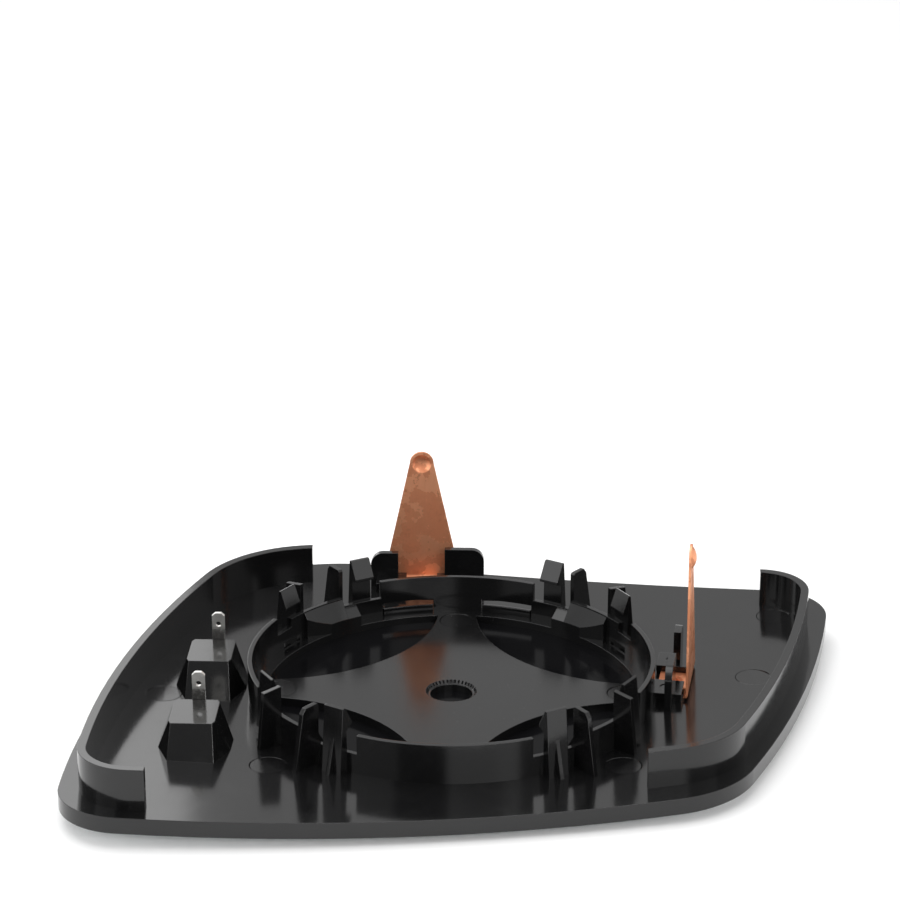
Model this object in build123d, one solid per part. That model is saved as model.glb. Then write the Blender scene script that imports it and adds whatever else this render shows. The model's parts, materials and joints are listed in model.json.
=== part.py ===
from build123d import *
from math import cos, radians, sin, tan
import os

# Car door mirror glass with its heated backing plate, lying on its glass with the back upwards.
# Millimetres. The origin is on the glass front, on the axis of the clip ring that snaps onto the
# mirror's adjuster. +Z points out of the back, +X to the outer end of the mirror, and -Y to the
# mirror's upper edge. The glass is convex, so its edges curve away from the surface it lies on.
# Heights are measured from the plate's floor on the ring's axis, or for the spring holders,
# the walls and the springs from the floor where they stand.

# Glass, heater and plate, as depths behind the glass front
glass_radius = 1400.0
glass_thick = 2.0
pad_thick = 0.35
floor_thick = 1.6
rim_width = 1.7
rim_setback = 0.4
glass_gap = 0.15
pad_margin = 4.0

# Plate outline: corner points, how far each edge bows outwards, and corner radii,
# from the front left corner round by the front right and rear right to the rear left
plate_corners = [(-77.8, -66.1), (59.2, -49.1), (88.2, 51.3), (-49.5, 73.0)]
plate_bows = [5.4, 4.7, 0.4, 10.2]
plate_rounds = [13.0, 24.0, 14.0, 38.0]

# Stiffening walls inside the plate's edge, in two runs with open gaps at the front and rear
wall_corners = [(-73.9, -63.0), (58.5, -42.6), (83.2, 46.0), (-49.8, 62.4)]
wall_bows = [4.2, 4.0, 0.4, 8.6]
wall_rounds = [11.0, 20.0, 12.0, 30.0]
wall_thick = 1.8
inner_wall_height = 9.0
outer_wall_height = 8.3
front_gap = (-59.5, 41.8)
rear_gap = (-35.5, 71.5)

# Clip ring: a foot all round, raised between each side hook and its guide, and four tall arcs
ring_outer = 45.0
ring_wall = 1.0
ring_height = 9.5
ring_foot_height = 5.3
raised_foot_height = 7.4
arc_half_angle = 24.0
window_near = 5.7
window_far = 17.5
window_height = 3.9
ledge_taper_angle = 46.0
ledge_end_angle = 57.5
ledge_face_height = 2.4
ledge_drop = 0.3

# Snap fingers of one quarter of the ring, by angle from the nearer X axis, with their radial
# profiles as distances outside the ring and heights
side_hook_angle = 31.5
side_fin_angle = 37.6
guide_angle = 52.7
end_hook_angle = 60.0
side_hook_width = 5.3
end_hook_width = 4.7
fin_thick = 1.0
rib_thick = 0.9
root = -1.0
in_ring = -ring_wall / 3
side_hook = [
    (in_ring, root),
    (2.1, root),
    (0.4, 14.8),
    (-0.1, 15.0),
    (-1.6, 10.9),
    (-1.6, 10.4),
    (in_ring, 10.0),
]
side_fin = [(in_ring, root), (5.6, root), (4.0, 13.6), (-0.3, 14.2)]
side_window = (6.0, 0.95, 2.4)
end_hook = [
    (in_ring, root),
    (2.6, root),
    (1.1, 15.5),
    (0.3, 15.5),
    (-2.0, 11.6),
    (-2.0, 11.0),
    (0.0, 10.2),
]
guide = [(in_ring, root), (7.2, root), (4.3, 13.3), (3.4, 14.4), (-0.1, 14.4), (-0.5, 14.0)]
rib = [(0.5, root), (4.4, root), (0.9, 11.8)]

# Flat star web with its toothed pivot bore, left between four lens-shaped openings
web_rise = 0.75
arm_width = 9.0
opening_radius = 38.4
ledge_width = 2.6
bore_radius = 4.7
sink_radius = 5.6
sink_depth = 1.3
tooth_count = 39
tooth_gap = 0.35

# Heater terminals and the hollow pedestals they come out of
pedestal_gap = 8.5
pedestal_ys = (-29.0, 2.2)
pedestal_height = 8.75
pedestal_base = (17.7, 22.0)
pedestal_base_flats = (10.4, 4.0)
pedestal_top = (9.8, 11.6)
pedestal_wall = 1.6
tab_shifts = [(0.3, 6.2), (1.0, 6.2)]
tab_width = 2.8
tab_thick = 0.8
tab_rise = 6.4
tab_hole = 0.6
tab_chamfer = 0.7
tab_foot = 5.0
tab_fit = 0.1

# Sensor springs, of sheet copper: how far outside the ring and along it they stand, the angle that
# their outward side faces, and how far the blade leans back over its foot
side_spring_gap = 8.2
side_spring_y = 5.0
side_spring_angle = -8.0
rear_spring_gap = 16.5
rear_spring_x = -9.1
rear_spring_angle = 90.0
spring_lean_angle = 1.4
spring_thick = 0.5
spring_bend = 0.8
spring_height = 32.95
spring_base_width = 18.5
spring_tip_width = 5.7
spring_foot_width = 9.0
spring_foot_length = 7.0
dimple_radius = 2.5
dimple_height = 1.0
dimple_drop = 3.0
barb_size = 0.7
barb_spread = 2.1

# Spring holders: a seat, two ledges over the foot, and a narrow and a wide shoulder by the blade
seat_rise = 0.1
holder_height = 2.0
holder_length = 7.0
holder_span = 21.6
holder_lip = 0.8
holder_fit = 0.1
shoulder_thick = 1.6
shoulder_offset = 2.6
shoulder_height = 9.5
shoulder_near = 5.6
shoulder_narrow = 6.6
shoulder_wide = 9.5
shoulder_round = 3.0
rear_narrow_drop = 1.1

# Ejector pin marks: on three arms of the web, on the plate and on the spring holders
pin_radius = 4.0
pin_depth = 0.15
pin_inset = 5.5
web_mark_angles = (0, 90, 180)
plate_marks = [(-63.4, -5.1), (-37.1, -38.2), (37.1, -35.8), (67.3, 7.3), (74.3, 39.3)]
holder_pin_radius = 1.6

pad_back = glass_thick + pad_thick
plate_top = pad_back + floor_thick
web_top = plate_top + web_rise
ring_inner = ring_outer - ring_wall
ring_middle = ring_outer - ring_wall / 2
opening_centre = opening_radius + arm_width / 2
opening_limit = ring_inner - ledge_width
pedestal_x = -ring_outer - pedestal_gap
tab_places = [(pedestal_x + x, pedestal_y + y) for pedestal_y, (x, y) in zip(pedestal_ys, tab_shifts)]
side_spring = (ring_outer + side_spring_gap, side_spring_y, side_spring_angle)
rear_spring = (rear_spring_x, ring_outer + rear_spring_gap, rear_spring_angle)
tall = plate_top + spring_height
quarters = [(1, 1), (-1, 1), (-1, -1), (1, -1)]


def bowed_outline(corners, bows, rounds):
    """Closed outline of four bowed edges with rounded corners."""
    edges = []
    for start, end, bow in zip(corners, corners[1:] + corners[:1], bows):
        run = Vector(*end) - Vector(*start)
        outward = Vector(run.Y, -run.X).normalized()
        middle = (Vector(*start) + Vector(*end)) / 2 + outward * bow
        edges.append(ThreePointArc(start, middle, end))
    outline = make_face(edges)
    for corner, radius in zip(corners, rounds):
        outline = fillet(outline.vertices().sort_by_distance(corner)[0], radius)
    return outline


def inset(outline, distance):
    """Outline of outward-bowed arcs, moved inwards all round."""
    arcs = []
    for edge in outline.edges():
        points = [edge.position_at(share) for share in (0, 0.5, 1)]
        arcs.append(ThreePointArc(*[p + (edge.arc_center - p).normalized() * distance for p in points]))
    return make_face(arcs)


def sag(x, y):
    """How far the curved sheets rise at a place on the plate."""
    return (x**2 + y**2) / (2 * glass_radius)


def ball(depth):
    """Ball whose underside lies a given depth behind the glass front, with its poles to the sides."""
    return Pos(0, 0, glass_radius) * Rot(0, -90, 0) * Sphere(glass_radius - depth)


def prism(outline, low, high):
    """Upright prism of a flat outline."""
    return extrude(Pos(0, 0, low) * outline, high - low)


def layer(outline, low, high):
    """Curved sheet of an outline between two depths behind the glass front."""
    return prism(outline, -1, tall) & ball(low) - ball(high)


def rooted(solid):
    """Feature trimmed where it grows out of the plate's floor."""
    return solid & ball(plate_top - floor_thick / 2)


def radial_plate(points, angle, width):
    """Plate of a radial profile, centred on an angle round the ring."""
    turn = radians(angle)
    plane = Plane((0, 0, plate_top), x_dir=(cos(turn), sin(turn), 0), z_dir=(sin(turn), -cos(turn), 0))
    profile = plane * make_face(Polyline(*[(ring_outer + out, up) for out, up in points], close=True))
    return rooted(extrude(profile, width / 2, both=True))


def quarter_angle(quarter, angle):
    """Angle from the nearer X axis, placed in one quarter of the ring."""
    side, end = quarter
    return angle * end if side > 0 else 180 - angle * end


plate_outline = bowed_outline(plate_corners, plate_bows, plate_rounds)
pocket_outline = inset(plate_outline, rim_width)
glass_outline = inset(plate_outline, rim_width + glass_gap)
pad_outline = inset(plate_outline, rim_width + pad_margin)


def make_glass():
    """Convex mirror glass."""
    return layer(glass_outline, 0, glass_thick)


def make_pad():
    """Heater pad bonded between the glass and the plate."""
    return layer(pad_outline, glass_thick, pad_back)


def make_tray():
    """Floor of the plate and the rim that frames the glass."""
    floor = layer(plate_outline, pad_back, plate_top)
    rim = layer(plate_outline - pocket_outline, rim_setback, plate_top)
    tray = floor + rim
    for x, y in plate_marks:
        tray -= Pos(x, y) * prism(Circle(pin_radius), plate_top + sag(x, y), tall)
    return tray


def make_web():
    """Flat web inside the ring, with pin marks and a countersunk bore with a toothed edge."""
    web = prism(Circle(ring_middle), 0, web_top) & ball(plate_top - floor_thick / 2)
    for angle in web_mark_angles:
        pin = Pos(ring_inner - pin_inset, 0) * Circle(pin_radius)
        web -= Rot(0, 0, angle) * prism(pin, web_top - pin_depth, tall)
    sink = Pos(0, 0, web_top - sink_depth / 2) * Cone(bore_radius, sink_radius, sink_depth)
    notch = Pos(0, 0, web_top) * Box(sink_radius - bore_radius, tooth_gap, sink_depth)
    tooth_places = PolarLocations(sink_radius - tooth_gap, tooth_count)
    return web - [sink] - [place * notch for place in tooth_places]


def make_walls():
    """The two runs of stiffening wall."""
    outer = bowed_outline(wall_corners, wall_bows, wall_rounds)
    band = outer - inset(outer, wall_thick)
    reach = 200
    runs = []
    for sign, height, index in ((-1, inner_wall_height, 0), (1, outer_wall_height, 1)):
        front = Pos(front_gap[index] + sign * reach, -reach) * Rectangle(2 * reach, 2 * reach)
        rear = Pos(rear_gap[index] + sign * reach, reach) * Rectangle(2 * reach, 2 * reach)
        runs.append(layer(band & (front + rear), plate_top - floor_thick / 2, plate_top + height))
    return runs


def ring_arc(middle, half_angle, height):
    """Arc of the ring's wall, centred on an angle."""
    reach = 2 * ring_outer
    spread = reach * tan(radians(half_angle))
    wedge = make_face(Polyline((0, 0), (reach, -spread), (reach, spread), close=True))
    annulus = Circle(ring_outer) - Circle(ring_inner)
    return rooted(prism(annulus & Rot(0, 0, middle) * wedge, 0, plate_top + height))


def polar(radius, angle):
    """Place at a radius and an angle round the ring."""
    return (radius * cos(radians(angle)), radius * sin(radians(angle)))


def ledge(start, end, height):
    """Ledge inside the ring between two angles, sloping inwards from a height on the ring's wall."""
    profile = [
        (opening_limit, web_top),
        (ring_middle, web_top),
        (ring_middle, plate_top + height - ledge_drop),
        (ring_inner, plate_top + height - ledge_drop),
        (opening_limit, web_top + ledge_face_height),
    ]
    face = Plane.XZ * make_face(Polyline(*profile, close=True))
    return Rot(0, 0, min(start, end)) * revolve(face, Axis.Z, abs(end - start))


def make_ring():
    """Clip ring: its foot, its tall arcs, and in each quarter the fingers, a raised foot and ledges."""
    annulus = Circle(ring_outer) - Circle(ring_inner)
    pieces = [rooted(prism(annulus, 0, plate_top + ring_foot_height))]
    pieces += [ring_arc(turn, arc_half_angle, ring_height) for turn in (0, 90, 180, 270)]
    angles = (side_hook_angle, side_fin_angle, ledge_taper_angle, guide_angle, ledge_end_angle, end_hook_angle)
    for quarter in quarters:
        side, fin_at, taper, guide_at, ledge_end, end = (quarter_angle(quarter, angle) for angle in angles)
        taper_side = Polyline((0, 0), polar(opening_limit, taper), polar(ring_outer, side), close=True)
        pieces.append(radial_plate(side_hook, side, side_hook_width))
        pieces.append(radial_plate(side_fin, fin_at, fin_thick))
        pieces.append(radial_plate(guide, guide_at, fin_thick))
        pieces.append(radial_plate(end_hook, end, end_hook_width))
        pieces.append(radial_plate(rib, end, rib_thick))
        pieces.append(ring_arc((side + guide_at) / 2, abs(guide_at - side) / 2, raised_foot_height))
        pieces.append(ledge(fin_at, guide_at, raised_foot_height) - prism(make_face(taper_side), 0, tall))
        pieces.append(ledge(guide_at, ledge_end, ring_foot_height))
    return pieces


def octagon(size, flats):
    """Rectangle with cut corners, given the lengths of the flats that are left."""
    half_x, half_y = size[0] / 2, size[1] / 2
    flat_x, flat_y = flats[0] / 2, flats[1] / 2
    points = [(flat_x, -half_y), (half_x, -flat_y), (half_x, flat_y), (flat_x, half_y)]
    points += [(-x, -y) for x, y in points]
    return make_face(Polyline(*points, close=True))


def pedestal_form(y, shrink):
    """Octagonal truncated pyramid on the plate, inset all round by a wall thickness."""
    base_size = [side - 2 * shrink for side in pedestal_base]
    top_size = [side - 2 * shrink for side in pedestal_top]
    base_flats = [flat - shrink for flat in pedestal_base_flats]
    cut = min(top_size) / 10
    slope = (base_size[1] - base_flats[1]) / (base_size[0] - base_flats[0])
    top_flats = [top_size[0] - cut, top_size[1] - cut * slope]
    base = Pos(0, 0, pad_back) * octagon(base_size, base_flats)
    top = Pos(0, 0, plate_top + pedestal_height - shrink) * octagon(top_size, top_flats)
    return Pos(pedestal_x, y) * loft([base, top], ruled=True)


def make_tab(place):
    """Blade terminal with a foot on the heater pad."""
    top = plate_top + pedestal_height + tab_rise
    blade = Pos(0, 0, top / 2) * Box(tab_width, tab_thick, top)
    blade = chamfer(blade.edges().filter_by(Axis.Y).group_by(Axis.Z)[-1], tab_chamfer)
    blade -= Pos(0, 0, top - tab_rise / 2.4) * Rot(90, 0, 0) * Cylinder(tab_hole, 3 * tab_thick)
    foot = Pos(*place) * Pos(0, (tab_thick - tab_foot) / 2) * Rectangle(tab_width, tab_foot)
    return (Pos(*place) * blade & ball(pad_back)) + layer(foot, pad_back, pad_back + tab_thick)


def spring_place(spring):
    """Local frame of a spring: X outwards from the ring, Y along the sheet, Z up from its seat."""
    x, y, turn = spring
    return Pos(x, y, plate_top + sag(x, y) + seat_rise) * Rot(0, 0, turn)


def make_spring(spring):
    """Copper spring: a barbed foot, a bend and a tapered blade with a dimple near its tip."""
    half = spring_thick / 2
    radius = spring_bend + half
    lean = Pos(0, 0, half) * Rot(0, -spring_lean_angle, 0)
    blade_top = (-spring_height * tan(radians(spring_lean_angle)), half + spring_height)
    path = Plane.XZ * FilletPolyline((-spring_foot_length, half), (0, half), blade_top, radius=radius)
    start = Plane((-spring_foot_length, 0, half), x_dir=(0, 1, 0), z_dir=(1, 0, 0))
    strip = sweep(start * Rectangle(spring_base_width, spring_thick), path=path)
    half_base, half_tip = spring_base_width / 2, spring_tip_width / 2
    tip_z = spring_height - half_tip
    sides = Polyline(
        (-half_tip, tip_z),
        (-half_base, spring_bend),
        (-half_base, half),
        (half_base, half),
        (half_base, spring_bend),
        (half_tip, tip_z),
    )
    tip = ThreePointArc((half_tip, tip_z), (0, spring_height), (-half_tip, tip_z))
    blade_mask = lean * extrude(Plane.YZ * make_face(sides.edges() + tip.edges()), spring_bend, both=True)
    foot_mask = Pos(-spring_foot_length / 2, 0, half) * Box(spring_foot_length, spring_foot_width, radius)
    sheet = strip & (blade_mask + foot_mask)
    cap = (dimple_radius**2 + dimple_height**2) / (2 * dimple_height)
    dimple = lean * Pos(half + dimple_height - cap, 0, spring_height - dimple_drop) * Rot(0, 0, 180)
    dome = dimple * Sphere(cap) & lean * Pos(cap, 0, spring_height) * Box(2 * cap, 2 * cap, 4 * cap)
    sheet = sheet + dome - dimple * Sphere(cap - spring_thick)
    barb = make_face(Polyline((-barb_size, 0), (barb_size, 0), (-barb_size, barb_size), close=True))
    wedge = extrude(Plane.XZ * barb, barb_size, both=True)
    for shift in (-barb_spread / 2, barb_spread / 2):
        sheet += Pos(shift - spring_foot_length / 2, 0, spring_thick) * wedge
    return spring_place(spring) * sheet


def make_holder(spring, narrow_height):
    """Seat and ledges that hold a spring's foot, and the two shoulder plates beside the blade."""
    middle = Pos(-spring_thick / 2 - spring_bend - holder_length / 2, 0)
    gap = spring_foot_width - 2 * holder_lip
    ledges = middle * Box(holder_length, holder_span, 2 * holder_height)
    ledges -= Pos(0, 0, holder_height) * middle * Box(2 * holder_length, gap, 2 * holder_height)
    for side in (-1, 1):
        pin = middle * Pos(0, side * (gap + holder_span) / 4) * Circle(holder_pin_radius)
        ledges -= prism(pin, holder_height - pin_depth, 2 * holder_height)
    room_height = spring_thick + holder_fit
    room = Box(3 * spring_foot_length, spring_foot_width + 2 * holder_fit, room_height)
    pieces = [ledges - Pos(0, 0, room_height / 2) * room]
    shoulder_x = -shoulder_offset - (spring_thick + shoulder_thick) / 2
    for sign, width, height in ((1, shoulder_narrow, narrow_height), (-1, shoulder_wide, shoulder_height)):
        face = Pos(sign * (shoulder_near + width / 2), 0) * Rectangle(width, 2 * height)
        corner = face.vertices().sort_by_distance((sign * tall, tall))[0]
        shoulder = extrude(Plane.YZ * fillet(corner, shoulder_round), shoulder_thick / 2, both=True)
        pieces.append(Pos(shoulder_x, 0) * shoulder)
    return [rooted(spring_place(spring) * piece) for piece in pieces]


def make_plate():
    """Moulded backing plate, one piece with its ring, walls, pedestals and spring holders."""
    features = [make_web()] + make_walls() + make_ring()
    features += [rooted(pedestal_form(y, 0)) for y in pedestal_ys]
    features += make_holder(side_spring, shoulder_height)
    features += make_holder(rear_spring, shoulder_height - rear_narrow_drop)
    plate = make_tray() + features
    cuts = [prism(Circle(bore_radius), 0, web_top)]
    width, low, high = side_window
    under_hook = Pos(ring_outer, 0, plate_top + (low + high) / 2) * Box(6 * ring_wall, width, high - low)
    for quarter in quarters:
        centre = Pos(quarter[0] * opening_centre, quarter[1] * opening_centre)
        cuts.append(prism(centre * Circle(opening_radius) & Circle(opening_limit), 0, web_top + ring_foot_height))
        cuts.append(Rot(0, 0, quarter_angle(quarter, side_hook_angle)) * under_hook)
    window_depth = 2 * (ring_outer + ring_wall - (ring_inner**2 - window_far**2) ** 0.5)
    for side in (-1, 1):
        window = Box(window_far - window_near, window_depth, window_height - web_rise)
        middle_z = plate_top + (window_height + web_rise) / 2
        cuts.append(Pos(side * (window_near + window_far) / 2, ring_outer, middle_z) * window)
    cuts += [pedestal_form(y, pedestal_wall) for y in pedestal_ys]
    slot = Box(tab_width + 2 * tab_fit, tab_thick + 2 * tab_fit, 1.5 * pedestal_height)
    cuts += [Pos(x, y, plate_top + pedestal_height) * slot for x, y in tab_places]
    return plate - cuts


os.makedirs("parts", exist_ok=True)
nodes = {
    "mirror_glass": make_glass(),
    "heater_pad": make_pad(),
    "backing_plate": make_plate(),
    "heater_tab_front": make_tab(tab_places[0]),
    "heater_tab_rear": make_tab(tab_places[1]),
    "sensor_spring_side": make_spring(side_spring),
    "sensor_spring_rear": make_spring(rear_spring),
}
for name, solid in nodes.items():
    export_step(solid, f"parts/{name}.step")
    print(name, len(solid.solids()), round(solid.volume, 1), solid.bounding_box().size)
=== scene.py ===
"""Finishes and studio for a car door mirror glass that lies on its glass with the back upwards."""

import json
from math import cos, radians, sin

import bpy
from bpy.props import FloatProperty, FloatVectorProperty, IntProperty, PointerProperty
from bpy.types import Operator, Panel, PropertyGroup
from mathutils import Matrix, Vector


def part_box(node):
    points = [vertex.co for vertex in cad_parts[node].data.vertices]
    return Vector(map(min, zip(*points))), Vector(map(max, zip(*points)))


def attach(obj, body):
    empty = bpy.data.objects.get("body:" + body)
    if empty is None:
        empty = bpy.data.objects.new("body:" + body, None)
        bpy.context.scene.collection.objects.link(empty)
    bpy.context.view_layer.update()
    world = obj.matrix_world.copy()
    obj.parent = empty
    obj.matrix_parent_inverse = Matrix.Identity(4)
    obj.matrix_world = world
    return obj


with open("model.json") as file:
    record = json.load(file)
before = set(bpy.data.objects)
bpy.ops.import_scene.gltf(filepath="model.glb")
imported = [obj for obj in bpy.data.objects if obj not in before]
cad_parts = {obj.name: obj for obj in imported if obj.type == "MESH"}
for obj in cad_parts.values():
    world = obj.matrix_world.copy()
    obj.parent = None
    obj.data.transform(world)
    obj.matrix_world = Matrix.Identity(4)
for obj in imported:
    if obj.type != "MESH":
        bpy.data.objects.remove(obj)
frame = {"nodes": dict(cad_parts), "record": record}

bl_info = {
    "name": "Door Mirror Glass",
    "version": (1, 0, 0),
    "blender": (4, 5, 0),
    "location": "3D View > Sidebar > Mirror Glass",
    "description": "Finishes for a door mirror glass on its backing plate, and a studio to show it in",
    "category": "Object",
}

MM = 0.001
BORE = next(m for m in frame["record"]["mounts"] if m["name"] == "pivot_bore")
# From the foot of the bore to just over the star web around it
WEB_HEIGHT = 2 * MM
# Places of the ejector pin marks in millimetres, and the share of their radius where the edge falls
PLATE_PIN_MARKS = [(-63.4, -5.1), (-37.1, -38.2), (37.1, -35.8), (67.3, 7.3), (74.3, 39.3)]
WEB_PIN_MARKS = [(38.5, 0), (0, 38.5), (-38.5, 0)]
PIN_MARK_EDGE = 0.95
PLASTIC_IOR = 1.5
FILM_IOR = 1.12
FLOOR_ROUGHNESS = 0.9
EDGE_SAMPLES = 6
DOT_SIDES = 24
RING_SIDES = 720
SMOOTH_ANGLE = radians(30)
SENSOR_WIDTH = 36
# Soft lights in metres and watts. The rear one stands upright and faces forwards
SOFTBOXES = {
    "softbox_overhead": {"place": (-0.25, 0.20, 1.10), "aim": (0, 0, 0), "size": (1.1, 1.1), "power": 5.5},
    "softbox_left": {"place": (-0.90, -0.70, 0.60), "aim": (0, 0, 0), "size": (1.0, 1.0), "power": 5.0},
    "softbox_right": {"place": (0.90, -0.70, 0.60), "aim": (0, 0, 0), "size": (1.0, 1.0), "power": 3.0},
    "softbox_rear": {
        "place": (-0.24, 0.25, 0.185),
        "aim": (-0.24, -0.75, 0.185),
        "size": (0.315, 0.33),
        "power": 0.49,
    },
    "softbox_front": {"place": (0.43, -1.20, 0.74), "aim": (0, 0, 0), "size": (0.94, 0.30), "power": 5.5},
}


def colour_property(name, description, default):
    """Colour that a user may change."""
    return FloatVectorProperty(
        name=name, description=description, subtype="COLOR", size=3, min=0, max=1, default=default
    )


def length_property(name, description, millimetres):
    """Length that a user may change, given in millimetres and kept in metres."""
    return FloatProperty(
        name=name, description=description, unit="LENGTH", default=millimetres * MM, precision=5
    )


def factor_property(name, description, default):
    """Share from 0 to 1 that a user may change."""
    return FloatProperty(
        name=name, description=description, subtype="FACTOR", min=0, max=1, default=default
    )


def angle_property(name, description, degrees):
    """Angle that a user may change, given in degrees and kept in radians."""
    return FloatProperty(name=name, description=description, subtype="ANGLE", default=radians(degrees))


def level_property(name, description, default):
    """Brightness of a part of the sky that a user may change."""
    return FloatProperty(name=name, description=description, min=0, default=default)


class PlasticSettings(PropertyGroup):
    """Finish of the moulded backing plate"""

    colour: colour_property("Colour", "Black of the moulded plastic", (0.0050, 0.0050, 0.0052))
    # The scuff grey lightens rounded edges, partly as rubbed wear and partly as a painted edge highlight
    scuff_and_highlight_colour: colour_property("Scuff colour", "Grey of rubbed edges and dust", (0.035, 0.035, 0.036))
    roughness: factor_property("Roughness", "Gloss of the plate's floor and walls", 0.10)
    web_roughness: factor_property("Web roughness", "Gloss of the star web inside the clip ring", 0.15)
    web_radius: length_property("Web radius", "Reach of the star web from the ring's axis", 44.0)
    edge_radius: length_property("Edge radius", "Rounding that the mould leaves on the edges", 0.22)
    grain: length_property("Grain depth", "Depth of the mould's fine grain", 0.004)
    pin_radius: length_property("Pin mark radius", "Radius of the ejector pin marks", 4.0)
    pin_depth: length_property("Pin mark depth", "Depth of the ejector pin marks", 0.22)


class RingSettings(PropertyGroup):
    """Sills in the rear windows of the clip ring"""

    radius: length_property("Ring radius", "Radius of the middle of the clip ring's wall", 44.5)
    wall: length_property("Ring wall", "Thickness of the clip ring's wall", 1.0)
    window_near: length_property("Window start", "Where each rear window starts, beside the axis", 5.7)
    window_far: length_property("Window end", "Where each rear window ends, beside the axis", 17.5)
    sill_low: length_property("Sill foot", "Height of the web that the sills stand on", 4.7)
    sill_height: length_property("Sill height", "Height of the sill in each rear window", 1.7)
    sill_root: length_property("Sill root", "How far a sill runs into the wall and the web", 0.2)


class FilmSettings(PropertyGroup):
    """Finish of the heater pad"""

    colour: colour_property("Colour", "Black of the heater film", (0.0030, 0.0030, 0.0033))
    cloud_colour: colour_property("Cloud colour", "Grey of the film's hazy patches", (0.006, 0.006, 0.007))
    roughness: factor_property("Roughness", "Gloss of the heater film", 0.10)
    ripple: length_property("Ripple depth", "Depth of the ripple that the adhesive leaves", 0.006)


class GlassSettings(PropertyGroup):
    """Finish of the glass and its line of printed dots"""

    silver: colour_property("Silver", "Tint of the silvered face", (0.80, 0.83, 0.83))
    edge_colour: colour_property("Edge colour", "Tint of the ground edge", (0.030, 0.045, 0.040))
    roughness: factor_property("Roughness", "Polish of the silvered face", 0.015)
    front_radius: length_property("Front radius", "Radius of the convex front", 1400.0)
    ink: colour_property("Ink", "Black of the printed dots", (0.004, 0.004, 0.004))
    thin_ink: colour_property("Thin ink", "Black where the print is thin", (0.012, 0.012, 0.012))
    dot_count: IntProperty(name="Dots", description="Dots in the wide-angle line", min=1, default=26)
    dot_diameter: length_property("Dot diameter", "Diameter of each dot", 1.3)
    dot_print: length_property("Dot thickness", "How far the printed dots stand out of the glass", 0.02)
    line_centre: FloatVectorProperty(
        name="Line centre",
        description="Centre of the arc that the line of dots follows",
        size=2,
        unit="LENGTH",
        default=(-148.9 * MM, 47.8 * MM),
    )
    line_radius: length_property("Line radius", "Radius of the arc that the line of dots follows", 191.8)
    line_start: angle_property("Line start", "Angle of the first dot", -32.5)
    line_step: angle_property("Line step", "Angle from dot to dot", 1.36)


class MetalSettings(PropertyGroup):
    """Finishes of the springs and the blade terminals"""

    copper: colour_property("Copper", "Clean copper of the sensor springs", (0.93, 0.425, 0.235))
    copper_warm: colour_property("Warm copper", "Copper with a thin oxide", (0.74, 0.285, 0.14))
    copper_brown: colour_property("Brown copper", "Copper in tarnished patches", (0.42, 0.145, 0.07))
    copper_roughness: factor_property("Copper roughness", "Polish of the rolled copper", 0.40)
    nickel: colour_property("Nickel", "Plating of the blade terminals", (0.80, 0.79, 0.76))
    nickel_dull: colour_property("Dull nickel", "Plating where it has dulled", (0.50, 0.49, 0.46))
    nickel_roughness: factor_property("Nickel roughness", "Polish of the rubbed plating", 0.32)
    rubbed_length: length_property("Rubbed length", "How far from its tip a blade is rubbed dull", 3.0)
    smooth_length: length_property("Smooth length", "How far from its tip a blade is smooth again", 5.2)


class StageSettings(PropertyGroup):
    """Floor, sky and camera"""

    floor_colour: colour_property("Floor", "Colour of the floor", (0.92, 0.92, 0.92))
    floor_size: length_property("Floor size", "Side of the floor", 6000.0)
    sky_overhead: level_property("Overhead light", "Brightness of the sky overhead", 1.1)
    sky_front: level_property("Front light", "Brightness of the sky behind the camera", 0.28)
    sky_rear: level_property("Rear light", "Brightness of the sky in front of the camera", 0.70)
    sky_side: level_property("Side light", "Brightness of the sky to both sides", 0.85)
    lens: FloatProperty(
        name="Lens", description="Focal length in millimetres", subtype="DISTANCE_CAMERA", default=108
    )
    camera_place: FloatVectorProperty(
        name="Camera place",
        description="Where the camera stands",
        subtype="TRANSLATION",
        default=(0.01774, -0.54395, 0.26252),
    )
    camera_pitch: angle_property("Camera pitch", "How far the camera looks down", 20.26)
    camera_turn: angle_property("Camera turn", "How far the camera is turned", 1.9)


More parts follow.
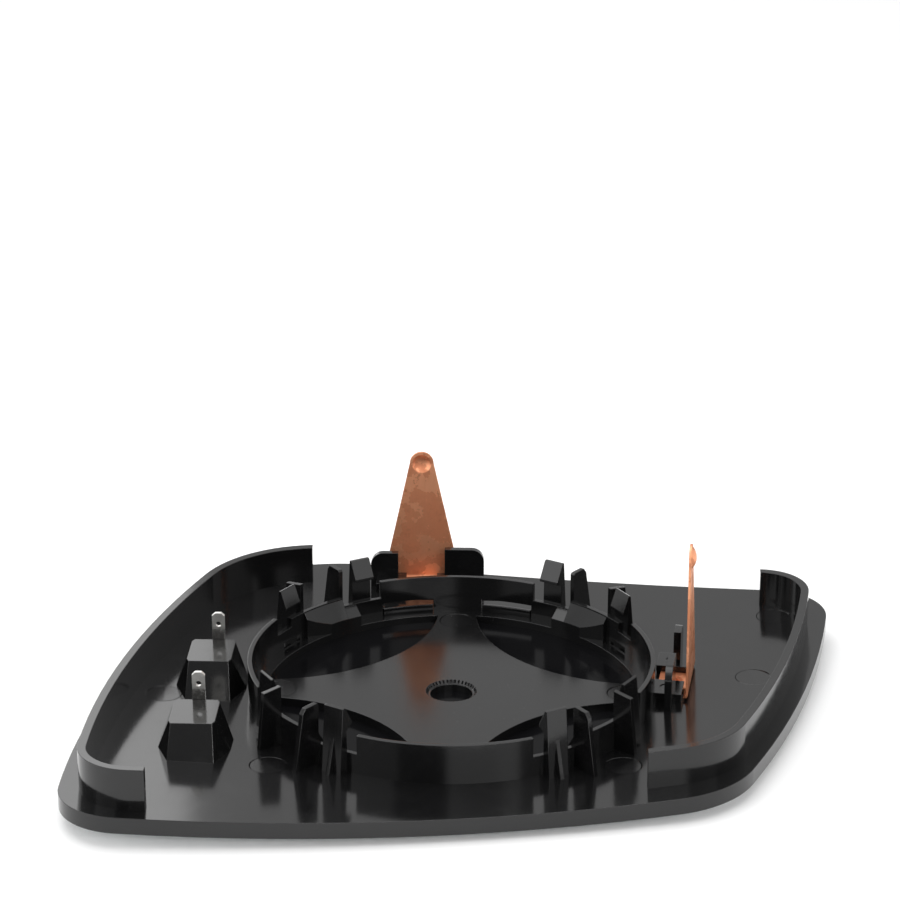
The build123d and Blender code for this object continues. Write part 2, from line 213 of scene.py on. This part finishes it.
class Shade:
    """Value in a node tree. Arithmetic on it adds Math nodes, and make adds any other node."""

    def __init__(self, tree, socket=None):
        self.tree = tree
        self.socket = socket

    def make(self, kind, sockets=(), output=0, **settings):
        """Adds a node: its settings first, then its sockets' values or links."""
        node = self.tree.nodes.new(kind)
        for name, value in settings.items():
            setattr(node, name, value)
        for key, value in dict(sockets).items():
            if isinstance(value, Shade):
                self.tree.links.new(value.socket, node.inputs[key])
            else:
                node.inputs[key].default_value = value
        return Shade(self.tree, node.outputs[output] if len(node.outputs) else None)

    def maths(self, operation, first, second):
        """Math node with an operation on two values."""
        return self.make("ShaderNodeMath", {0: first, 1: second}, operation=operation)

    def __add__(self, other):
        return self.maths("ADD", self, other)

    __radd__ = __add__

    def __sub__(self, other):
        return self.maths("SUBTRACT", self, other)

    def __rsub__(self, other):
        return self.maths("SUBTRACT", other, self)

    def __mul__(self, other):
        return self.maths("MULTIPLY", self, other)

    __rmul__ = __mul__

    def step(self, low, high):
        """Smooth step of this value from 0 at low to 1 at high."""
        sockets = {"Value": self, "From Min": low, "From Max": high}
        return self.make("ShaderNodeMapRange", sockets, interpolation_type="SMOOTHSTEP")

    def blend(self, first, second):
        """Colour between two colours, with this value as the share of the second."""
        return self.make("ShaderNodeMix", {0: self, 6: first, 7: second}, output=2, data_type="RGBA")

    def stretched(self, factors):
        """This vector times a factor along each axis."""
        return self.make("ShaderNodeVectorMath", {0: self, 1: factors}, operation="MULTIPLY")

    def noise(self, size, detail=2.0, roughness=0.5):
        """Noise over this vector, with features about size metres across."""
        sockets = {"Vector": self, "Scale": 1 / size, "Detail": detail, "Roughness": roughness}
        return self.make("ShaderNodeTexNoise", sockets, output="Fac")

    def axes(self):
        """The X, Y and Z of this vector."""
        return [self.make("ShaderNodeSeparateXYZ", {0: self}, output=axis) for axis in "XYZ"]

    def bump(self, height, depth, normal=None):
        """Normal of a surface with this tree's height field on it, depth metres deep."""
        sockets = {"Height": height, "Distance": depth}
        if normal:
            sockets["Normal"] = normal
        return self.make("ShaderNodeBump", sockets, output="Normal")


def opaque(colour):
    """Colour of a property with full alpha."""
    return (*colour, 1.0)


def start_material(name):
    """New material and the Object coordinates that its patterns are drawn in."""
    material = bpy.data.materials.new(name)
    material.use_nodes = True
    material.node_tree.nodes.clear()
    place = Shade(material.node_tree).make("ShaderNodeTexCoord", output="Object")
    return material, place


def finish_material(place, **sockets):
    """Principled surface of a material from its sockets' values or links."""
    named = {name.replace("_", " "): value for name, value in sockets.items()}
    surface = place.make("ShaderNodeBsdfPrincipled", named)
    place.make("ShaderNodeOutputMaterial", {"Surface": surface})


def surface_normal(place):
    """True normal of the surface, before any rounding or bump."""
    return place.make("ShaderNodeNewGeometry", output="Normal")


def pin_marks(place, radius):
    """Share of each ejector pin mark: 1 inside its circle on a face that looks up, and 0 elsewhere."""
    x, y, _ = place.axes()
    marks = 0
    for mark_x, mark_y in PLATE_PIN_MARKS + WEB_PIN_MARKS:
        across = x - mark_x * MM
        along = y - mark_y * MM
        outside = (across * across + along * along).step((PIN_MARK_EDGE * radius) ** 2, radius**2)
        marks = 1 - outside + marks
    looks_up = surface_normal(place).axes()[2].step(0.90, 0.97)
    return marks * looks_up


def moulded_plastic(settings):
    """Glossy black plastic: a duller web, fine grain, cloudy gloss, lighter rounded edges that are partly
    rubbed wear and partly a painted highlight, and a little dust.
    """
    material, place = start_material("moulded_black_plastic")
    x, y, z = place.axes()
    web_top = BORE["pos_m"][2] + WEB_HEIGHT
    flat = surface_normal(place)
    soft = place.make("ShaderNodeBevel", {"Radius": settings.edge_radius}, samples=EDGE_SAMPLES)
    facing = place.make("ShaderNodeVectorMath", {0: soft, 1: flat}, output="Value", operation="DOT_PRODUCT")
    corner = {"Distance": 4 * settings.edge_radius}
    openness = place.make("ShaderNodeAmbientOcclusion", corner, output="AO", samples=EDGE_SAMPLES)
    outer = openness.step(0.75, 0.92)
    rounded = place.make("ShaderNodeMix", {0: outer, 4: flat, 5: soft}, output=1, data_type="VECTOR")
    # Rounded convex edges turn a lighter grey and rougher: partly rubbed wear, partly a painted edge
    # highlight
    rubbed = (1 - facing).step(0.02, 0.45) * outer

    cloud = place.noise(28 * MM, detail=3)
    smudge = place.noise(6 * MM, detail=5, roughness=0.6).step(0.48, 0.72)
    speck = place.noise(0.55 * MM, detail=1).step(0.73, 0.80)
    grain = place.noise(0.32 * MM, detail=2)

    reach = (x * x + y * y).step((settings.web_radius - MM) ** 2, settings.web_radius**2)
    low = 1 - z.step(web_top, web_top + 0.4 * MM)
    web = (1 - reach) * low
    gloss = settings.roughness + web * (settings.web_roughness - settings.roughness)
    marks = pin_marks(place, settings.pin_radius)
    roughness = gloss + cloud * 0.04 + smudge * 0.03 + speck * 0.10 + rubbed * 0.10 + marks * 0.05

    # Share of the scuff grey: dust specks and smudges, plus the lighter edges, which are partly wear and
    # partly a painted highlight
    dust_and_edge_highlight = speck * 0.15 + smudge * 0.05 + rubbed * 0.35
    colour = dust_and_edge_highlight.blend(opaque(settings.colour), opaque(settings.scuff_and_highlight_colour))
    recessed = place.bump(1 - marks, settings.pin_depth, rounded)
    normal = place.bump(grain + cloud * 0.6, settings.grain, recessed)
    finish_material(place, Base_Color=colour, Roughness=roughness, Normal=normal, IOR=PLASTIC_IOR)
    return material


def heater_film(settings):
    """Smooth black film with a slight ripple from its adhesive and a cloudy gloss."""
    material, place = start_material("black_heater_film")
    ripple = place.noise(3.2 * MM, detail=2)
    cloud = place.noise(14 * MM, detail=4)
    speck = place.noise(0.6 * MM, detail=1).step(0.74, 0.80)
    colour = (cloud * 0.5 + speck * 0.2).blend(opaque(settings.colour), opaque(settings.cloud_colour))
    roughness = settings.roughness + cloud * 0.05 + speck * 0.1
    normal = place.bump(ripple, settings.ripple)
    finish_material(place, Base_Color=colour, Roughness=roughness, Normal=normal, IOR=FILM_IOR)
    return material


def silvered_glass(settings):
    """Silvered convex face with faint wiping marks, and a ground green-grey edge."""
    material, place = start_material("silvered_glass")
    upright = surface_normal(place).axes()[2]
    edge = 1 - (upright * upright).step(0.3, 0.6)
    wiped = place.stretched((1.0, 0.18, 1.0)).noise(9 * MM, detail=5, roughness=0.6).step(0.50, 0.75)
    frost = place.noise(0.4 * MM, detail=2)
    colour = edge.blend(opaque(settings.silver), opaque(settings.edge_colour))
    roughness = settings.roughness + wiped * 0.025 + edge * (0.28 + frost * 0.25)
    normal = place.bump(frost * edge, 0.02 * MM)
    finish_material(place, Base_Color=colour, Roughness=roughness, Metallic=1 - edge, Normal=normal)
    return material


def rolled_copper(settings):
    """Rolled copper sheet: streaks along the blade, warm oxide and brown tarnish in patches."""
    material, place = start_material("rolled_copper")
    patches = place.noise(6.5 * MM, detail=4, roughness=0.55)
    blotches = place.noise(2.6 * MM, detail=5, roughness=0.6)
    streaks = place.stretched((1.0, 1.0, 0.05)).noise(0.5 * MM, detail=3)
    dents = place.noise(8 * MM, detail=1)
    warm = (patches + streaks * 0.25).step(0.48, 0.80)
    brown = (blotches + patches * 0.35).step(0.72, 1.00)
    stain = (patches + blotches * 0.2).step(0.580, 0.600)
    clean = (warm * 0.7).blend(opaque(settings.copper), opaque(settings.copper_warm))
    colour = (brown * 0.45 + stain * 0.5).blend(clean, opaque(settings.copper_brown))
    roughness = settings.copper_roughness + warm * 0.05 + brown * 0.12 + streaks * 0.06 + stain * 0.10
    rounded = place.make("ShaderNodeBevel", {"Radius": 0.12 * MM}, samples=EDGE_SAMPLES)
    normal = place.bump(streaks * 0.02 + dents, 0.05 * MM, rounded)
    oxide = 0.18 + warm * 0.12 + brown * 0.10
    finish_material(place, Base_Color=colour, Roughness=roughness, Metallic=1 - oxide, Normal=normal)
    return material


def plated_nickel(settings):
    """Plating with fine drawing lines along the blade and dull spots, rubbed at the tip."""
    material, place = start_material("plated_nickel")
    lines = place.stretched((1.0, 1.0, 0.04)).noise(0.18 * MM, detail=3)
    dull = place.noise(1.6 * MM, detail=5, roughness=0.6).step(0.45, 0.72)
    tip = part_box("heater_tab_front")[1].z
    smooth = 1 - place.axes()[2].step(tip - settings.smooth_length, tip - settings.rubbed_length)
    darker = dull * 0.4 + lines * 0.2 + smooth * 0.4
    colour = darker.blend(opaque(settings.nickel), opaque(settings.nickel_dull))
    roughness = settings.nickel_roughness + dull * 0.14 + lines * 0.08 - smooth * 0.24
    rounded = place.make("ShaderNodeBevel", {"Radius": 0.10 * MM}, samples=EDGE_SAMPLES)
    normal = place.bump(lines, 0.006 * MM, rounded)
    finish_material(place, Base_Color=colour, Roughness=roughness, Metallic=1.0, Normal=normal)
    return material


def dot_ink(settings):
    """Matt black print with a slightly uneven coat."""
    material, place = start_material("black_dot_ink")
    coat = place.noise(0.3 * MM, detail=3)
    colour = coat.blend(opaque(settings.ink), opaque(settings.thin_ink))
    normal = place.bump(coat, 0.004 * MM)
    finish_material(place, Base_Color=colour, Roughness=0.4 + coat * 0.2, Normal=normal)
    return material


def dress(material, *names):
    """Gives CAD nodes their finish."""
    for name in names:
        frame["nodes"][name].material_slots[0].material = material


def deselect():
    """Leaves nothing selected, so that the next operator works on its own object only."""
    if bpy.context.object and bpy.context.object.mode != "OBJECT":
        bpy.ops.object.mode_set(mode="OBJECT")
    bpy.ops.object.select_all(action="DESELECT")


def pick(piece, wanted):
    """Selects the vertices of a piece whose place is wanted, and leaves it in edit mode."""
    bpy.ops.object.mode_set(mode="EDIT")
    bpy.ops.mesh.select_mode(type="VERT")
    bpy.ops.mesh.select_all(action="DESELECT")
    bpy.ops.object.mode_set(mode="OBJECT")
    for vertex in piece.data.vertices:
        vertex.select = wanted(vertex.co)
    bpy.ops.object.mode_set(mode="EDIT")


def face_outwards():
    """Turns every face of the active piece outwards."""
    bpy.ops.object.mode_set(mode="EDIT")
    bpy.ops.mesh.select_all(action="SELECT")
    bpy.ops.mesh.normals_make_consistent(inside=False)
    bpy.ops.object.mode_set(mode="OBJECT")


def on_glass(x, y, reach):
    """Whether the glass lies over the four points that are a reach to each side of a place."""
    glass = frame["nodes"]["mirror_glass"]
    up = Vector((0, 0, 1))
    sides = [(reach, 0), (-reach, 0), (0, reach), (0, -reach)]
    return all(glass.ray_cast(Vector((x + right, y + back, -MM)), up)[0] for right, back in sides)


class MIRROR_OT_plate(Operator):
    """Gives the backing plate its moulded black plastic"""

    bl_idname = "mirror_glass.finish_plate"
    bl_label = "Finish Backing Plate"

    def execute(self, context):
        dress(moulded_plastic(context.scene.mirror_plastic), "backing_plate")
        return {"FINISHED"}


class MIRROR_OT_pad(Operator):
    """Gives the heater pad its black film"""

    bl_idname = "mirror_glass.finish_pad"
    bl_label = "Finish Heater Pad"

    def execute(self, context):
        dress(heater_film(context.scene.mirror_film), "heater_pad")
        return {"FINISHED"}


class MIRROR_OT_glass(Operator):
    """Gives the mirror glass its silvered face and ground edge"""

    bl_idname = "mirror_glass.finish_glass"
    bl_label = "Finish Mirror Glass"

    def execute(self, context):
        dress(silvered_glass(context.scene.mirror_glass), "mirror_glass")
        return {"FINISHED"}


class MIRROR_OT_dots(Operator):
    """Prints the wide-angle line of dots on the front of the glass"""

    bl_idname = "mirror_glass.print_dots"
    bl_label = "Print Dots"

    def execute(self, context):
        settings = context.scene.mirror_glass
        dot = self.add_dot(context, settings)
        dots = [dot]
        for _ in range(settings.dot_count - 1):
            dots.append(self.copy_dot(context, dot))
        for index, copy in enumerate(dots):
            self.lay_on_glass(copy, index, settings)
        deselect()
        for copy in dots:
            copy.select_set(True)
        context.view_layer.objects.active = dot
        bpy.ops.object.join()
        bpy.ops.object.transform_apply(location=True, rotation=True, scale=True)
        face_outwards()
        dot.name = "wide_angle_dots"
        dot.data.materials.append(dot_ink(settings))
        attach(dot, "root")
        return {"FINISHED"}

    def add_dot(self, context, settings):
        """First dot: a thin round print whose edge stands slightly higher than its middle."""
        deselect()
        half = settings.dot_diameter / 2
        bpy.ops.mesh.primitive_circle_add(vertices=DOT_SIDES, radius=half, fill_type="NGON")
        bpy.ops.object.mode_set(mode="EDIT")
        bpy.ops.mesh.extrude_region_move(TRANSFORM_OT_translate={"value": (0, 0, -settings.dot_print)})
        bpy.ops.mesh.inset(thickness=settings.dot_print / 2, depth=settings.dot_print / 4)
        bpy.ops.object.mode_set(mode="OBJECT")
        return context.object

    def copy_dot(self, context, dot):
        """Copy of a dot with a mesh of its own."""
        deselect()
        dot.select_set(True)
        context.view_layer.objects.active = dot
        bpy.ops.object.duplicate()
        return context.object

    def lay_on_glass(self, dot, index, settings):
        """Puts a dot at its place along the line, flat on the convex front."""
        angle = settings.line_start + index * settings.line_step
        x = settings.line_centre[0] + settings.line_radius * cos(angle)
        y = settings.line_centre[1] + settings.line_radius * sin(angle)
        if not on_glass(x, y, settings.dot_diameter):
            raise RuntimeError("the line of dots runs off the glass")
        ball_centre = Vector((0, 0, settings.front_radius))
        sag = (x * x + y * y) / (2 * settings.front_radius)
        outward = (Vector((x, y, sag)) - ball_centre).normalized()
        dot.location = ball_centre + outward * settings.front_radius
        dot.rotation_mode = "QUATERNION"
        dot.rotation_quaternion = outward.to_track_quat("-Z", "Y")


class MIRROR_OT_sills(Operator):
    """Adds the sills that close the lower half of the clip ring's two rear windows"""

    bl_idname = "mirror_glass.add_sills"
    bl_label = "Add Window Sills"

    def execute(self, context):
        settings = context.scene.mirror_ring
        near = settings.window_near - settings.sill_root
        far = settings.window_far + settings.sill_root
        low = settings.sill_low - settings.sill_root
        deselect()
        bpy.ops.mesh.primitive_circle_add(vertices=RING_SIDES, radius=settings.radius, location=(0, 0, low))
        sills = context.object
        bpy.ops.object.transform_apply(location=True, rotation=True, scale=True)
        pick(sills, lambda at: at.y < 0 or not near < abs(at.x) < far)
        bpy.ops.mesh.delete(type="VERT")
        bpy.ops.mesh.select_all(action="SELECT")
        rise = settings.sill_height + settings.sill_root
        bpy.ops.mesh.extrude_region_move(TRANSFORM_OT_translate={"value": (0, 0, rise)})
        bpy.ops.object.mode_set(mode="OBJECT")
        wall = sills.modifiers.new("wall", "SOLIDIFY")
        wall.thickness = settings.wall - settings.sill_root
        wall.offset = 0
        bpy.ops.object.modifier_apply(modifier=wall.name)
        edges = sills.modifiers.new("edges", "BEVEL")
        edges.width = settings.sill_root / 2
        edges.segments = 2
        bpy.ops.object.modifier_apply(modifier=edges.name)
        face_outwards()
        bpy.ops.object.shade_smooth_by_angle(angle=SMOOTH_ANGLE)
        sills.name = "ring_window_sills"
        sills.data.materials.append(frame["nodes"]["backing_plate"].material_slots[0].material)
        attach(sills, "root")
        return {"FINISHED"}


class MIRROR_OT_tabs(Operator):
    """Gives the heater's blade terminals their plating"""

    bl_idname = "mirror_glass.finish_tabs"
    bl_label = "Finish Terminals"

    def execute(self, context):
        dress(plated_nickel(context.scene.mirror_metal), "heater_tab_front", "heater_tab_rear")
        return {"FINISHED"}


class MIRROR_OT_springs(Operator):
    """Gives the sensor springs their copper"""

    bl_idname = "mirror_glass.finish_springs"
    bl_label = "Finish Springs"

    def execute(self, context):
        dress(rolled_copper(context.scene.mirror_metal), "sensor_spring_side", "sensor_spring_rear")
        return {"FINISHED"}


class MIRROR_OT_stage(Operator):
    """Builds the pale floor, the soft light and the camera"""

    bl_idname = "mirror_glass.build_stage"
    bl_label = "Build Stage"

    def execute(self, context):
        settings = context.scene.mirror_stage
        self.add_floor(context, settings)
        self.add_sky(context, settings)
        self.add_softboxes(context)
        self.add_camera(context, settings)
        context.scene.view_settings.view_transform = "Standard"
        return {"FINISHED"}

    def add_floor(self, context, settings):
        """Plain pale floor under the glass."""
        deselect()
        bpy.ops.mesh.primitive_plane_add(size=settings.floor_size, location=(0, 0, 0))
        floor = context.object
        floor.name = "floor"
        material, place = start_material("pale_floor")
        finish_material(place, Base_Color=opaque(settings.floor_colour), Roughness=FLOOR_ROUGHNESS)
        floor.data.materials.append(material)

    def add_sky(self, context, settings):
        """Sky that is brightest overhead, darker behind the camera and lighter to the sides."""
        world = bpy.data.worlds.new("soft_studio")
        world.use_nodes = True
        world.node_tree.nodes.clear()
        sky = Shade(world.node_tree).make("ShaderNodeTexCoord", output="Generated")
        across, away, height = sky.axes()
        rear = away.step(-0.3, 0.5)
        side = (across * across).step(0.25, 0.85)
        overhead = height.step(0.55, 0.95)
        level = settings.sky_front + rear * (settings.sky_rear - settings.sky_front)
        level = level + side * (settings.sky_side - level)
        strength = level + overhead * (settings.sky_overhead - level)
        light = sky.make("ShaderNodeBackground", {"Color": (1, 1, 1, 1), "Strength": strength})
        sky.make("ShaderNodeOutputWorld", {"Surface": light})
        context.scene.world = world

    def add_softboxes(self, context):
        """Soft lights around the part, out of the camera's sight."""
        for name, box in SOFTBOXES.items():
            bpy.ops.object.light_add(type="AREA", location=box["place"])
            light = context.object
            light.name = name
            light.data.shape = "RECTANGLE"
            light.data.size, light.data.size_y = box["size"]
            light.data.energy = box["power"]
            light.visible_camera = False
            light.rotation_mode = "QUATERNION"
            towards = Vector(box["aim"]) - Vector(box["place"])
            light.rotation_quaternion = towards.to_track_quat("-Z", "Y")

    def add_camera(self, context, settings):
        """Camera at the viewing angle of the photograph."""
        upright = radians(90)
        bpy.ops.object.camera_add(
            location=settings.camera_place,
            rotation=(upright - settings.camera_pitch, 0, settings.camera_turn),
        )
        camera = context.object
        camera.data.lens = settings.lens
        camera.data.sensor_width = SENSOR_WIDTH
        context.scene.camera = camera


class MIRROR_PT_sidebar(Panel):
    """Lists the finishes, their settings and the stage"""

    bl_idname = "MIRROR_PT_sidebar"
    bl_label = "Door Mirror Glass"
    bl_space_type = "VIEW_3D"
    bl_region_type = "UI"
    bl_category = "Mirror Glass"

    def draw(self, context):
        layout = self.layout
        for operator in OPERATORS:
            layout.operator(operator.bl_idname)
        for name in SETTINGS:
            group = getattr(context.scene, name)
            column = layout.column(align=True)
            for key in group.__annotations__:
                column.prop(group, key)


SETTINGS = {
    "mirror_plastic": PlasticSettings,
    "mirror_ring": RingSettings,
    "mirror_film": FilmSettings,
    "mirror_glass": GlassSettings,
    "mirror_metal": MetalSettings,
    "mirror_stage": StageSettings,
}
OPERATORS = [
    MIRROR_OT_plate,
    MIRROR_OT_sills,
    MIRROR_OT_pad,
    MIRROR_OT_glass,
    MIRROR_OT_dots,
    MIRROR_OT_tabs,
    MIRROR_OT_springs,
    MIRROR_OT_stage,
]


def register():
    """Adds the settings, the operators and the panel to Blender."""
    for group in SETTINGS.values():
        bpy.utils.register_class(group)
    for cls in [*OPERATORS, MIRROR_PT_sidebar]:
        bpy.utils.register_class(cls)
    for name, group in SETTINGS.items():
        setattr(bpy.types.Scene, name, PointerProperty(type=group))


def unregister():
    """Takes the settings, the operators and the panel out of Blender again."""
    for name in SETTINGS:
        delattr(bpy.types.Scene, name)
    for cls in [MIRROR_PT_sidebar, *reversed(OPERATORS), *SETTINGS.values()]:
        bpy.utils.unregister_class(cls)


def main():
    """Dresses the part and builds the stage."""
    register()
    bpy.context.view_layer.update()
    bpy.ops.mirror_glass.finish_plate()
    bpy.ops.mirror_glass.add_sills()
    bpy.ops.mirror_glass.finish_pad()
    bpy.ops.mirror_glass.finish_glass()
    bpy.ops.mirror_glass.print_dots()
    bpy.ops.mirror_glass.finish_tabs()
    bpy.ops.mirror_glass.finish_springs()
    bpy.ops.mirror_glass.build_stage()


if __name__ == "__main__":
    main()
